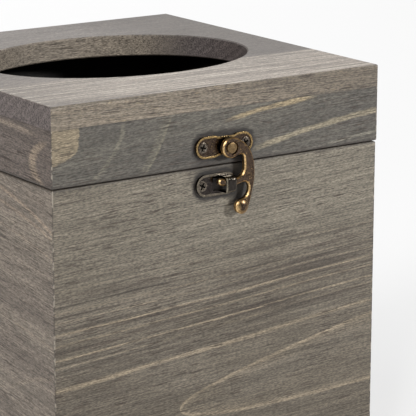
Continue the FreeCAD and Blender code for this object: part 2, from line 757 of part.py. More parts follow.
hook = doc.addObject("PartDesign::Body", "FlatHook")
hook_sketch = new_sketch(hook, "XZ_Plane", "hook_stand")
hook_sketch.addGeometry(hook_outline(), False)
pad(hook, hook_sketch, "hook_thick")
bore_sketch = new_sketch(hook, "XZ_Plane", HOOK_FRONT)
draw_circle(bore_sketch, "rivet_radius + pivot_play")
pocket(hook, bore_sketch, "hook_thick")
recess_sketch = new_sketch(hook, "XZ_Plane", HOOK_FRONT)
draw_circle(recess_sketch, "eye_recess_radius")
pocket(hook, recess_sketch, "eye_recess_depth")
front_level = -at(HOOK_FRONT)
rim = at("eye_recess_radius") + 0.1
bevel(hook, "hook_bevel", lambda e: lies_at(e, "Y", front_level) and math.hypot(middle(e).x, middle(e).z) > rim)

DOME_RADIUS = "((ball_radius - hook_bevel)^2 + ball_dome^2) / (2 * ball_dome)"
ball = doc.addObject("Part::Sphere", "Ball")
bind(ball, Radius=DOME_RADIUS)
place(ball, "ball_offset", DOME_RADIUS + " - ball_dome - " + HOOK_FRONT, "-ball_drop")
dome = doc.addObject("Part::Common", "Dome")
dome.Base = ball
dome.Tool = disc(
    "ball_offset", "-ball_drop", "ball_radius - hook_bevel",
    HOOK_FRONT + " - hook_thick / 2", HOOK_FRONT + " + 2 * ball_dome",
)
latch_hook = fuse(hook, dome)
keep("latch_hook", latch_hook)
place(latch_hook, *PIVOT_FACE)


# Butt hinges on the back: three knuckles, the outer two on the case leaf and the middle one on
# the lid leaf, each leaf screwed flat to its board. Each is drawn about the middle of its pin.

def barrel(x0, x1):
    return rod("barrel_radius", "%s - (%s)" % (x1, x0), x0, "0", "0", ALONG_X)


def bore(radius):
    return rod(radius, "2 * hinge_width", "-hinge_width", "0", "0", ALONG_X)


def leaf(way, back, knuckles, gaps, bore_radius):
    """way is 1 for the leaf above the pin and -1 for the one below; back is its board's face."""
    inner = "(%s - %s)" % (back, PIN_Y)
    low, high = ("seam_gap / 2", "leaf_reach") if way > 0 else ("-leaf_reach", "-seam_gap / 2")
    web_low, web_high = ("0", "barrel_radius") if way > 0 else ("-barrel_radius", "0")
    clear = "barrel_radius + barrel_gap"
    gap_low, gap_high = ("-" + clear, clear)
    plate = box("-hinge_width / 2", "hinge_width / 2", inner, inner + " + leaf_thick", low, high)
    solids = [plate]
    for x0, x1 in knuckles:
        solids.append(barrel(x0, x1))
        solids.append(box(x0, x1, inner + " + leaf_thick / 2", "0", web_low, web_high))
    solid = fuse(*solids)
    for x0, x1 in gaps:
        solid = cut(solid, box(x0, x1, "-2 * barrel_radius", "2 * barrel_radius", gap_low, gap_high))
    solid = cut(solid, bore(bore_radius))
    screw_z = "%d * hinge_screw_reach" % way
    for x in ("-hinge_screw_spread / 2", "hinge_screw_spread / 2"):
        solid = cut(solid, peg("hinge_screw_radius", "3 * leaf_thick", x, inner + " - leaf_thick", screw_z, BACKWARD))
    return solid


def leaf_screws(way, back):
    inner = "(%s - %s)" % (back, PIN_Y)
    screws = []
    for hinge in ("-", "+"):
        for screw in ("-", "+"):
            x = "%s hinge_spacing / 2 %s hinge_screw_spread / 2" % (hinge, screw)
            z = "%d * hinge_screw_reach" % way
            shank = peg(
                "hinge_screw_radius", "hinge_screw_length + leaf_thick",
                x, inner + " - hinge_screw_length", z, BACKWARD,
            )
            head = rod("hinge_screw_head", "hinge_screw_proud", x, inner + " + leaf_thick", z, BACKWARD)
            screws.append(fuse(shank, head))
    group = doc.addObject("Part::Compound", "Screws")
    group.Links = screws
    return group


END = "hinge_width / 2"
MID = KNUCKLE + " / 2"
CASE_KNUCKLES = [("-" + END, "-" + MID + " - barrel_gap"), (MID + " + barrel_gap", END)]
LID_KNUCKLES = [("-" + MID, MID)]
CASE_GAPS = [("-" + MID + " - barrel_gap", MID + " + barrel_gap")]
LID_GAPS = [("-hinge_width", "-" + MID), (MID, "hinge_width")]

for side, way in (("left", "-"), ("right", "")):
    x = way + "hinge_spacing / 2"
    case_leaf = leaf(-1, CASE_HALF, CASE_KNUCKLES, CASE_GAPS, "hinge_pin")
    keep("hinge_%s_case_leaf" % side, case_leaf)
    place(case_leaf, x, PIN_Y, PIN_Z)
    lid_leaf = leaf(1, LID_HALF, LID_KNUCKLES, LID_GAPS, "hinge_pin + pivot_play")
    keep("hinge_%s_lid_leaf" % side, lid_leaf)
    place(lid_leaf, x, PIN_Y, PIN_Z)
    pin = rod("hinge_pin", "hinge_width", x + " - hinge_width / 2", PIN_Y, PIN_Z, ALONG_X)
    keep("hinge_%s_pin" % side, pin)

case_hinge_screws = leaf_screws(-1, CASE_HALF)
keep("case_hinge_screws", case_hinge_screws)
place(case_hinge_screws, "0", PIN_Y, PIN_Z)
lid_hinge_screws = leaf_screws(1, LID_HALF)
keep("lid_hinge_screws", lid_hinge_screws)
place(lid_hinge_screws, "0", PIN_Y, PIN_Z)


# Checks, then one file for each piece.

doc.recompute()
for thing in doc.Objects:
    if "Invalid" in thing.State or "Error" in thing.State:
        raise RuntimeError("%s (%s) failed: %s" % (thing.Name, thing.Label, thing.State))
for piece in pieces:
    shape = piece.Shape
    if shape.isNull() or not shape.isValid() or not shape.Solids:
        raise RuntimeError("%s has no valid solid" % piece.Label)

os.makedirs("parts", exist_ok=True)
for piece in pieces:
    piece.Shape.exportStep("parts/%s.step" % piece.Label)
    size = piece.Shape.BoundBox
    print("%-22s %d solid(s), %9.1f mm3, %6.2f x %6.2f x %6.2f" % (
        piece.Label, len(piece.Shape.Solids), piece.Shape.Volume, size.XLength, size.YLength, size.ZLength))
print(len(pieces), "pieces")
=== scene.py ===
import math

import bmesh
import bpy
from mathutils import Matrix, Vector


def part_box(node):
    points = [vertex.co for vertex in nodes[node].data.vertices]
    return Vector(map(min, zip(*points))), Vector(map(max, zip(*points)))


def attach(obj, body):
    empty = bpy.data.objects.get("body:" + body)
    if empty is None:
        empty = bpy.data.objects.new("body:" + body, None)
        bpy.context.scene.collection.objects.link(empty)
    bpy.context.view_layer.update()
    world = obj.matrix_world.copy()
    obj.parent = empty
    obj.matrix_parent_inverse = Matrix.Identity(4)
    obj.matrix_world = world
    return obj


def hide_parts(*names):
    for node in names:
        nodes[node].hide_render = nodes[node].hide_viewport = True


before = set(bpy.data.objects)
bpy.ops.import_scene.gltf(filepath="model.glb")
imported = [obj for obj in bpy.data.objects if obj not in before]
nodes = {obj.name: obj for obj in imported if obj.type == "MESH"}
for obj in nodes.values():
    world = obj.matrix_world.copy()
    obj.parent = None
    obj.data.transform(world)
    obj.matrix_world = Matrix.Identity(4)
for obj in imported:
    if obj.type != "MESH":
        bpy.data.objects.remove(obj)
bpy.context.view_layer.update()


# The case is four mitred panels of pine on a bottom board, planed, glued at the corners and
# wiped with a thin grey-brown stain. The soft wood drinks the stain and goes grey; the hard
# lines between the rings refuse it and stay cream.

def add_node(tree, kind, inputs=(), stops=(), **settings):
    """Adds one node with its settings, its sockets' values or links, and its ramp's stops. The
    inputs are named, or stand in the order of the sockets: for a MapRange the value, the two ends
    of its range and what they become, and for a Math node its terms."""
    node = tree.nodes.new("ShaderNode" + kind)
    for name, value in settings.items():
        setattr(node, name, value)
    for name, value in inputs.items() if isinstance(inputs, dict) else enumerate(inputs):
        if isinstance(name, int):
            socket = node.inputs[name]
        else:
            socket = next(s for s in node.inputs if s.name == name and s.enabled)
        if isinstance(value, bpy.types.Node):
            value = next(s for s in value.outputs if s.enabled)
        if isinstance(value, bpy.types.NodeSocket):
            tree.links.new(value, socket)
        else:
            socket.default_value = value
    for i, (place, colour) in enumerate(stops):
        elements = node.color_ramp.elements
        element = elements[i] if i < len(elements) else elements.new(place)
        element.position = place
        element.color = colour
    return node


def distance(tree, value, level):
    """How far a value lies from a level, on either side."""
    off = add_node(tree, "Math", [value, level], operation="SUBTRACT")
    return add_node(tree, "Math", [off], operation="ABSOLUTE")


def stain(hex_colour):
    """An sRGB hex colour as Blender's linear colour."""
    parts = [int(hex_colour[i:i + 2], 16) / 255 for i in (1, 3, 5)]
    return tuple(p / 12.92 if p <= 0.04045 else ((p + 0.055) / 1.055) ** 2.4 for p in parts) + (1,)


def grey(level):
    """A brightness as a colour."""
    return (level, level, level, 1)


def grain(tree, place, along, seed, run, width, detail=2):
    """Noise drawn out along the grain, with marks of about that run and width in metres."""
    scale = [1 / width, 1 / width, 1 / width]
    scale["XYZ".index(along)] = 1 / run
    shift = (seed * 3.1, seed * 7.7, seed * 5.3)
    mapped = add_node(tree, "Mapping", {"Vector": place, "Location": shift, "Scale": scale})
    return add_node(tree, "TexNoise", {"Vector": mapped, "Scale": 1, "Detail": detail})


def shaded_by(tree, colour, mask, *stops):
    """A colour made darker and lighter by a mask. Each stop is a place and a brightness."""
    tone = add_node(tree, "ValToRGB", [mask], [(place, grey(level)) for place, level in stops])
    layers = {"Factor": 1.0, "A": colour, "B": tone}
    return add_node(tree, "Mix", layers, data_type="RGBA", blend_type="MULTIPLY")


def laid_over(tree, ground, *coats):
    """Lays coats over a ground colour in turn, each a mask and a hex colour or a pattern."""
    for mask, tone in coats:
        above = stain(tone) if isinstance(tone, str) else tone
        layers = {"Factor": mask, "A": ground, "B": above}
        ground = add_node(tree, "Mix", layers, data_type="RGBA")
    return ground


def facing(tree):
    """Which way the surface looks, along X, Y and Z."""
    seen = add_node(tree, "TexCoord")
    return add_node(tree, "SeparateXYZ", {"Vector": seen.outputs["Normal"]}).outputs


def new_material(name):
    """An empty material, its node tree and its shader."""
    material = bpy.data.materials.new(name)
    material.use_nodes = True
    tree = material.node_tree
    return material, tree, tree.nodes["Principled BSDF"]


def plug(tree, node, shader, name):
    """Links a node's result to one of the shader's own sockets."""
    tree.links.new(next(s for s in node.outputs if s.enabled), shader.inputs[name])


WOOD_IOR = 1.45
PORE_STAIN = "#382e26"
SEAM_DIRT = "#3a342f"
CORNER_DIRT = "#37302a"
BARE_WOOD = "#c9bfae"


def stained_pine(name, along, tones, seed, marks, corner=None, tilt=(0, 0, 0), seams=()):
    """Planed pine under a thin wiped stain: a satin surface with fine fibres, short dark dashes
    where pores caught the stain, a slow drift between brown and grey, and paler ring lines.
    Real pores are finer than the eye can part here, so the speck is drawn coarser than they are."""
    material, tree, shader = new_material(name)
    seen = add_node(tree, "TexCoord")
    place = add_node(tree, "Mapping", {"Vector": seen.outputs["Object"], "Rotation": tilt})
    axes = add_node(tree, "SeparateXYZ", {"Vector": seen.outputs["Object"]})

    drift = grain(tree, place, along, seed, 0.060, 0.013, 3)
    tones = [(0.38, stain(tones[0])), (0.62, stain(tones[1]))]
    colour = add_node(tree, "ValToRGB", [drift], tones)
    colour = laid_over(tree, colour, *marks(tree, axes, place))

    band = grain(tree, place, along, seed + 5, 0.120, 0.0022)
    colour = shaded_by(tree, colour, band, (0.35, 0.86), (0.65, 1.1))
    fibre = grain(tree, place, along, seed + 1, 0.022, 0.0004)
    colour = shaded_by(tree, colour, fibre, (0.3, 0.66), (0.7, 1.24))

    # Dashes come in patches, where the wood is softer.
    dash = grain(tree, place, along, seed + 2, 0.009, 0.00045, 1)
    patch = grain(tree, place, along, seed + 6, 0.045, 0.014, 1)
    dash_mask = add_node(tree, "ValToRGB", [dash], [(0.57, grey(0)), (0.65, grey(0.9))])
    softer = add_node(tree, "MapRange", [patch, 0.35, 0.6, 0.4, 1])
    patches = {"Factor": 1.0, "A": dash_mask, "B": softer}
    dash_mask = add_node(tree, "Mix", patches, data_type="RGBA", blend_type="MULTIPLY")
    colour = laid_over(tree, colour, (dash_mask, PORE_STAIN))

    speck = grain(tree, place, along, seed + 3, 0.0014, 0.0004, 3)
    colour = shaded_by(tree, colour, speck, (0.32, 0.55), (0.68, 1.45))

    # End grain drinks more stain: darker, purplish, dotted with pores and crossed by the rings.
    across = add_node(tree, "Math", [facing(tree)[along]], operation="ABSOLUTE")
    pores = add_node(tree, "TexNoise", {"Vector": place, "Scale": 1900, "Detail": 2})
    end_tones = [(0.36, stain("#332b2b")), (0.6, stain("#726865"))]
    end_grain = add_node(tree, "ValToRGB", [pores], end_tones)
    slanted = add_node(tree, "Mapping", {"Vector": place, "Rotation": (0.6, 0.6, 0)})
    waves = {"Vector": slanted, "Scale": 105, "Distortion": 2.5, "Detail": 1, "Detail Scale": 0.4}
    rings = add_node(tree, "TexWave", waves, bands_direction="Z")
    end_grain = shaded_by(tree, end_grain, rings, (0.2, 0.86), (0.8, 1.08))
    end_mask = add_node(tree, "MapRange", [across, 0.5, 0.85, 0, 0.9])
    colour = laid_over(tree, colour, (end_mask, end_grain))

    # Stain and dust gather in the open joints between two boards.
    for level, reach, strength in seams:
        off = distance(tree, axes.outputs["Z"], level)
        off = add_node(tree, "Math", [speck, reach * 0.8, off], operation="MULTIPLY_ADD")
        gathered = add_node(tree, "MapRange", [off, reach * 1.6, reach * 0.6, 0, strength])
        colour = laid_over(tree, colour, (gathered, SEAM_DIRT))

    # A mitred corner has a dark glue line, rubbed through to bare wood here and there.
    if corner is not None:
        reach = add_node(tree, "Math", [axes.outputs[along]], operation="ABSOLUTE")
        joint = add_node(tree, "MapRange", [reach, corner - 0.0006, corner - 0.0001, 0, 0.6])
        noise = {"Vector": seen.outputs["Object"], "Scale": 420, "Detail": 1}
        bare = add_node(tree, "MapRange", [add_node(tree, "TexNoise", noise), 0.52, 0.60, 0, 0.7])
        bare = add_node(tree, "Math", [bare, joint], operation="MULTIPLY")
        colour = laid_over(tree, colour, (joint, CORNER_DIRT), (bare, BARE_WOOD))

    plug(tree, colour, shader, "Base Color")
    plug(tree, add_node(tree, "MapRange", [fibre, 0, 1, 0.46, 0.66]), shader, "Roughness")
    relief = add_node(tree, "Math", [fibre, dash_mask], operation="SUBTRACT")
    bump = add_node(tree, "Bump", {"Height": relief, "Strength": 0.3, "Distance": 0.00012})
    plug(tree, bump, shader, "Normal")
    shader.inputs["IOR"].default_value = WOOD_IOR
    return material


def dress(material, *names):
    """Gives a material to CAD nodes that are shown as they are."""
    for name in names:
        piece = nodes[name]
        if not piece.material_slots:
            piece.data.materials.append(material)
        for held in piece.material_slots:
            held.material = material


RING_SLOPE = 0.0753
LOWEST_RING = 0.203 - 0.1035
ARCH_TIP = -0.0193
ARCH_LEVEL = -0.021


def front_streaks(tree, axes, place):
    """Ring lines of the front board. v is the height in metres above the lowest straight line.
    The lines rise and draw together to the right, and below them one ring closes in a long
    pointed arch. Dark summer wood lies between them."""
    x, z = axes.outputs["X"], axes.outputs["Z"]
    ragged = grain(tree, place, "X", 11, 0.022, 0.0025)
    wave = grain(tree, place, "X", 12, 0.090, 0.060, 1)
    sheared = add_node(tree, "Math", [x, -RING_SLOPE, z], operation="MULTIPLY_ADD")
    level = add_node(tree, "Math", [sheared, LOWEST_RING], operation="SUBTRACT")
    fan = add_node(tree, "Math", [x, -1.0, 1.0], operation="MULTIPLY_ADD")
    fanned = add_node(tree, "Math", [level, fan], operation="DIVIDE")
    v = add_node(tree, "Math", [ragged, 0.0005, fanned], operation="MULTIPLY_ADD")
    v = add_node(tree, "Math", [wave, 0.0024, v], operation="MULTIPLY_ADD")
    v = add_node(tree, "Math", [v, 0.00145], operation="SUBTRACT")

    # Each line has its height and half its width in millimetres, and its strength.
    lines = [(0, 1.1, 0.8), (8.2, 0.45, 0.35), (11, 0.5, 0.9), (16.3, 0.5, 0.6),
             (20.25, 0.55, 0.9), (24.5, 0.35, 0.5), (28, 0.35, 0.35), (36, 0.4, 0.25)]
    lowest, span = -8, 60
    stops = [(0, grey(0))]
    for middle, half, strength in lines:
        centre = (middle - lowest) / span
        stops += [(centre - half / span, grey(0)), (centre, grey(strength)),
                  (centre + half / span, grey(0))]
    across = add_node(tree, "MapRange", [v, lowest / 1000, (lowest + span) / 1000])
    straight = add_node(tree, "ValToRGB", [across], stops)

    # The arch opens to the right of its tip like a parabola.
    beyond = add_node(tree, "Math", [x, ARCH_TIP], operation="SUBTRACT")
    spread = add_node(tree, "Math", [beyond], operation="ABSOLUTE")
    spread = add_node(tree, "Math", [spread, 0.0024], operation="MULTIPLY")
    spread = add_node(tree, "Math", [spread, 0.5], operation="POWER")
    way = add_node(tree, "Math", [beyond], operation="SIGN")
    spread = add_node(tree, "Math", [spread, way], operation="MULTIPLY")
    arch = add_node(tree, "Math", [distance(tree, v, ARCH_LEVEL), spread], operation="SUBTRACT")
    arch_at = add_node(tree, "MapRange", [arch, -0.005, 0.003])
    arch_line = add_node(tree, "ValToRGB", [arch_at], [
        (0.0, grey(0)), (0.45, grey(0.12)), (0.6, grey(0.7)), (0.66, grey(0.6)), (0.70, grey(0))])

    # The lines are broken in places, stand out less to the left and have dark wood between them.
    either = {"Factor": 1.0, "A": straight, "B": arch_line}
    mask = add_node(tree, "Mix", either, data_type="RGBA", blend_type="LIGHTEN")
    patchy = add_node(tree, "MapRange", [ragged, 0.25, 0.6, 0.45, 1])
    broken = {"Factor": 1.0, "A": mask, "B": patchy}
    mask = add_node(tree, "Mix", broken, data_type="RGBA", blend_type="MULTIPLY")
    # High up to the right the wood is lighter and greener: partly its own drift in tone, partly
    # painted light.
    to_right = add_node(tree, "MapRange", [x, -0.075, 0.0, 0.45, 0.95])
    high = add_node(tree, "MapRange", [v, 0.024, 0.046])
    upper = add_node(tree, "Math", [high, to_right], operation="MULTIPLY")
    stretched = add_node(tree, "CombineXYZ", {"X": x, "Z": v})
    stretched = add_node(tree, "Mapping", {"Vector": stretched, "Scale": (14, 1, 620)})
    summer = add_node(tree, "TexNoise", {"Vector": stretched, "Scale": 1, "Detail": 1})
    summer = add_node(tree, "MapRange", [summer, 0.50, 0.36, 0, 0.85])
    zone = add_node(tree, "MapRange", [distance(tree, v, 0.020), 0.024, 0.012])
    summer = add_node(tree, "Math", [summer, zone], operation="MULTIPLY")
    # Low on the left it is darker: partly its own drift in tone, partly painted shade.
    low_left = add_node(tree, "MapRange", [x, -0.015, -0.060, 0, 0.4])
    low = add_node(tree, "MapRange", [v, 0.010, -0.020])
    low_left = add_node(tree, "Math", [low, low_left], operation="MULTIPLY")
    # The marks include dirt with painted shade round the catch plate, a painted shadow behind the
    # hook's arm and painted shade on the inner faces.
    return [(upper, "#756e61"), (low_left, "#4e463d"), (summer, "#423a32"), (mask, "#9a8b74"),
            (dirt_and_shade_round("catch_plate", tree, axes, place), PLATE_DIRT_AND_SHADE),
            (painted_hook_shadow(tree, axes, place), HOOK_SHADOW), inside(tree, axes)]


PLATE_DIRT_AND_SHADE = "#241e1a"
# The colour of the painted shadow behind the hook's arm and between the plates.
HOOK_SHADOW = "#181412"
ARM = (0.0082, 0.1660)
ARM_SQUASH = 0.45
BETWEEN_PLATES = (-0.0030, 0.1708)


def length(tree, x, z):
    """The length of a way across the front, given by its two parts."""
    way = add_node(tree, "CombineXYZ", {"X": x, "Z": z})
    return add_node(tree, "VectorMath", [way], operation="LENGTH").outputs["Value"]


def dirt_and_shade_round(plate, tree, axes, place):
    """Polish and dust gathered on the wood under and round one of the latch's plates, with painted
    shade laid over them where the plate shades the wood.
    """
    low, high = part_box(plate)
    half = (high.z - low.z) / 2
    run = (high.x - low.x) / 2 - half
    x = distance(tree, axes.outputs["X"], (low.x + high.x) / 2)
    x = add_node(tree, "Math", [x, run], operation="SUBTRACT")
    x = add_node(tree, "Math", [x, 0.0], operation="MAXIMUM")
    z = add_node(tree, "Math", [axes.outputs["Z"], (low.z + high.z) / 2], operation="SUBTRACT")
    uneven = grain(tree, place, "X", 31, 0.003, 0.002)
    # Dirt and painted shade darken the wood close round the plate's edge.
    off = add_node(tree, "Math", [uneven, -0.0016, length(tree, x, z)], operation="MULTIPLY_ADD")
    return add_node(tree, "MapRange", [off, half + 0.0015, half + 0.0002, 0, 0.94])


def painted_hook_shadow(tree, axes, place):
    """A painted shadow on the wood behind the hook's arm and between the two plates."""
    x = add_node(tree, "Math", [axes.outputs["X"], ARM[0]], operation="SUBTRACT")
    level = -ARM[1] * ARM_SQUASH
    z = add_node(tree, "Math", [axes.outputs["Z"], ARM_SQUASH, level], operation="MULTIPLY_ADD")
    uneven = grain(tree, place, "X", 33, 0.005, 0.001)
    off = add_node(tree, "Math", [uneven, -0.0012, length(tree, x, z)], operation="MULTIPLY_ADD")
    # Painted shadow behind the arm, then between the two plates.
    arm = add_node(tree, "MapRange", [off, 0.0064, 0.0036, 0, 0.82])
    aside = distance(tree, axes.outputs["X"], BETWEEN_PLATES[0])
    rise = distance(tree, axes.outputs["Z"], BETWEEN_PLATES[1])
    aside = add_node(tree, "MapRange", [aside, 0.0135, 0.0080])
    rise = add_node(tree, "MapRange", [rise, 0.0050, 0.0020, 0, 0.6])
    between = add_node(tree, "Math", [rise, aside], operation="MULTIPLY")
    return add_node(tree, "Math", [arm, between], operation="MAXIMUM")


SHADE_WITHIN = 0.0672


def inside(tree, axes):
    """The inner faces are painted near black as shade, so the hole in the lid looks black."""
    x = add_node(tree, "Math", [axes.outputs["X"]], operation="ABSOLUTE")
    y = add_node(tree, "Math", [axes.outputs["Y"]], operation="ABSOLUTE")
    off = add_node(tree, "Math", [x, y], operation="MAXIMUM")
    # Near black: painted shade on the inner faces.
    return add_node(tree, "Math", [off, SHADE_WITHIN], operation="LESS_THAN"), "#17120f"


def stroke(tree, run, across, curve, half, ends, strength=1.0, fading=0.008):
    """A pale streak: across follows a curve of run (level, slope and bend, in metres) between two
    ends. It is full at its middle line and fades out to half its width and past its ends."""
    bend = add_node(tree, "Math", [run, curve[2], curve[1]], operation="MULTIPLY_ADD")
    middle = add_node(tree, "Math", [run, bend, curve[0]], operation="MULTIPLY_ADD")
    off = distance(tree, across, middle)
    mask = add_node(tree, "MapRange", [off, half, half * 0.45, 0, strength])
    for end, way in ((ends[0], 1), (ends[1], -1)):
        share = add_node(tree, "MapRange", [run, end, end + way * fading])
        mask = add_node(tree, "Math", [mask, share], operation="MULTIPLY")
    return mask


def left_marks(tree, axes, place):
    """Tan lines that curve down to the front corner, and low down the end of a ring arch."""
    y, z = axes.outputs["Y"], axes.outputs["Z"]
    wave = grain(tree, place, "Y", 14, 0.020, 0.003)
    z = add_node(tree, "Math", [wave, 0.0012, z], operation="MULTIPLY_ADD")
    marks = [(stroke(tree, y, z, curve, half, (-0.080, end), strength), "#a59380")
             for curve, half, end, strength in (
                 ((0.1681, -0.075, -3.2), 0.0010, 0.02, 0.7),
                 ((0.1640, 0.0, -1.9), 0.0009, 0.0, 0.5),
                 ((0.1560, 0.06, -1.0), 0.0004, 0.05, 0.4),
                 ((0.1210, 0.13, 0.0), 0.0004, 0.06, 0.35))]
    ring = stroke(tree, y, z, (0.0560, -0.98, -5.4), 0.0011, (-0.078, -0.040), 0.5)
    return marks + [(ring, "#8f8273"), inside(tree, axes)]


def plain_marks(tree, axes, place):
    """A board with no streaks of its own, only the painted shade on its inner face."""
    return [inside(tree, axes)]


CORNER = 0.0757
LID_SEAM = 0.1718
FRONT_TILT = (0, 0.055, 0)
case_seam = [(LID_SEAM, 0.0011, 0.8)]
front_pine = stained_pine("stained_pine_front", "X", ("#5e564a", "#6a6256"), 0.0,
                          front_streaks, CORNER, FRONT_TILT, case_seam)
left_pine = stained_pine("stained_pine_left", "Y", ("#746a60", "#82786c"), 4.0,
                         left_marks, CORNER, (-0.09, 0, 0), case_seam)
back_pine = stained_pine("stained_pine_back", "X", ("#6f675d", "#7d7569"), 5.0,
                         plain_marks, CORNER, FRONT_TILT, case_seam)
right_pine = stained_pine("stained_pine_right", "Y", ("#756c62", "#82796e"), 6.0,
                          plain_marks, CORNER, (0.06, 0, 0), case_seam)
dress(front_pine, "case_front_panel")
dress(left_pine, "case_left_panel", "tissue_shelf")
dress(back_pine, "case_back_panel")
dress(right_pine, "case_right_panel")


# The bottom board, the drawer's guides and stop, and the drawer box inside are plain pine,
# planed and left without stain: pale yellow with soft orange ring lines. The tissue shelf isn't
# among them, since it carries the painted shade of the case's inner faces.

def plain_pine(name, along, seed):
    """Unstained pine, a little rough from the plane."""
    material, tree, shader = new_material(name)
    place = add_node(tree, "TexCoord").outputs["Object"]
    rings = grain(tree, place, along, seed, 0.090, 0.004)
    tone = add_node(tree, "ValToRGB", [rings], [
        (0.40, stain("#dcc49a")), (0.52, stain("#cfae7c")), (0.60, stain("#e2cda6"))])
    fibre = grain(tree, place, along, seed + 1, 0.012, 0.0006)
    plug(tree, shaded_by(tree, tone, fibre, (0.3, 0.9), (0.7, 1.05)), shader, "Base Color")
    bump = add_node(tree, "Bump", {"Height": fibre, "Strength": 0.2, "Distance": 0.0001})
    plug(tree, bump, shader, "Normal")
    shader.inputs["Roughness"].default_value = 0.62
    shader.inputs["IOR"].default_value = WOOD_IOR
    return material


pine_x = plain_pine("plain_pine_across", "X", 20.0)
pine_y = plain_pine("plain_pine_deep", "Y", 23.0)
dress(pine_x, "base_board", "drawer_stop", "drawer_back", "drawer_bottom")
dress(pine_y, "drawer_guide_left", "drawer_guide_right", "drawer_left_side", "drawer_right_side")


# The drawer front is sawn from the front board, so its grain runs on from the case. Its ring
# lines meet those of the panel round it, with only the thin dark gap between them.

dress(front_pine, "drawer_front")


# The lid is a top board with an oval hole laid over four mitred rails of the same pine, stained
# as the case is. The rails took more stain and look greyer than the board, whose front strip is
# pale sapwood.

BEFORE_THE_HOLE = -0.06


def top_marks(tree, axes, place):
    """The lid's front strip is paler sapwood with fine cream lines; its front edge is browner, and
    the far wall of the hole carries painted light.
    """
    x = axes.outputs["X"]
    wave = grain(tree, place, "X", 16, 0.050, 0.012)
    y = add_node(tree, "Math", [wave, 0.004, axes.outputs["Y"]], operation="MULTIPLY_ADD")
    strip = add_node(tree, "MapRange", [y, -0.0300, -0.0325, 0, 0.9])
    lines = grain(tree, place, "X", 17, 0.080, 0.0011, 1)
    pale_lines = add_node(tree, "MapRange", [lines, 0.55, 0.66, 0, 0.7])
    pale_lines = add_node(tree, "Math", [pale_lines, strip], operation="MULTIPLY")
    dark_lines = add_node(tree, "MapRange", [lines, 0.46, 0.36, 0, 0.7])
    dark_lines = add_node(tree, "Math", [dark_lines, strip], operation="MULTIPLY")
    to_right = add_node(tree, "MapRange", [x, 0.015, 0.050, 0, 0.9])
    to_left = add_node(tree, "MapRange", [x, -0.015, -0.065, 0, 0.55])
    edge = add_node(tree, "MapRange", [facing(tree)["Y"], -0.5, -0.9, 0, 0.85])
    # The far wall of the hole is painted lighter, as painted light falling on it.
    painted_light_hole_wall = add_node(tree, "Math", [y, BEFORE_THE_HOLE], operation="GREATER_THAN")
    painted_light_hole_wall = add_node(tree, "Math", [painted_light_hole_wall, edge], operation="MULTIPLY")
    edge_right = add_node(tree, "MapRange", [x, -0.020, 0.075, 0, 0.8])
    edge_right = add_node(tree, "Math", [edge_right, edge], operation="MULTIPLY")
    flecks = grain(tree, place, "X", 18, 0.006, 0.0006, 1)
    flecks = add_node(tree, "MapRange", [flecks, 0.66, 0.74, 0, 0.6])
    flecks = add_node(tree, "Math", [flecks, edge], operation="MULTIPLY")
    return [(to_right, "#58514b"), (strip, "#8c8277"), (to_left, "#685f56"),
            (pale_lines, "#b9b0a3"), (dark_lines, "#5c544c"), (edge, "#716759"),
            (edge_right, "#5e554a"), (flecks, "#a08c68"), (painted_light_hole_wall, "#857b6e")]


RAIL_TOP = 0.1930


def rail_front_marks(tree, axes, place):
    """The front rail: a corner of yellow sapwood, two faint figures that cross the grain, three
    tan streaks to the right, dirt with painted shade round the hook plate and a painted shadow
    behind the hook's arm."""
    x, z = axes.outputs["X"], axes.outputs["Z"]
    ragged = grain(tree, place, "X", 21, 0.012, 0.0012)
    rough_z = add_node(tree, "Math", [ragged, 0.0014, z], operation="MULTIPLY_ADD")
    rough_z = add_node(tree, "Math", [rough_z, 0.0007], operation="SUBTRACT")
    rough_x = add_node(tree, "Math", [ragged, 0.0022, x], operation="MULTIPLY_ADD")
    rough_x = add_node(tree, "Math", [rough_x, 0.0011], operation="SUBTRACT")
    marks = []
    for curve, half, ends, strength, tone in (
            ((0.1884, 0.190, -1.7), 0.0012, (0.001, 0.046), 0.9, "#968669"),
            ((0.1728, 0.235, -1.05), 0.0014, (0.012, 0.090), 0.9, "#8b816c"),
            ((0.1693, 0.090, 0.0), 0.0006, (0.048, 0.090), 0.6, "#837f71")):
        marks.append((stroke(tree, x, rough_z, curve, half, ends, strength), tone))
    down = add_node(tree, "Math", [RAIL_TOP, z], operation="SUBTRACT")
    for curve, half, strength, tone in (
            ((-0.0444, -0.10, -30.0), 0.0014, 0.6, "#6d685b"),
            ((-0.0252, -0.35, -10.0), 0.0024, 0.55, "#6b6659"),
            ((-0.0236, -0.35, -10.0), 0.0007, 0.6, "#767060")):
        figure = stroke(tree, down, rough_x, curve, half, (-0.001, 0.022), strength, 0.003)
        marks.append((figure, tone))

    # The sapwood corner lies left of one line and above another, and is rounded between them.
    slope = add_node(tree, "Math", [x, -0.38, rough_z], operation="MULTIPLY_ADD")
    above = add_node(tree, "Math", [slope, 0.2086], operation="SUBTRACT")
    left = add_node(tree, "Math", [-0.0638, rough_x], operation="SUBTRACT")
    within = add_node(tree, "Math", [above, left, 0.006], operation="SMOOTH_MIN")
    marks.append((add_node(tree, "MapRange", [within, 0.0, 0.0005, 0, 0.9]), "#877a64"))
    # Dirt with painted shade round the hook plate, and a painted shadow behind the hook's arm.
    marks.append((dirt_and_shade_round("hook_plate", tree, axes, place), PLATE_DIRT_AND_SHADE))
    marks.append((painted_hook_shadow(tree, axes, place), HOOK_SHADOW))
    marks.append(inside(tree, axes))
    return marks


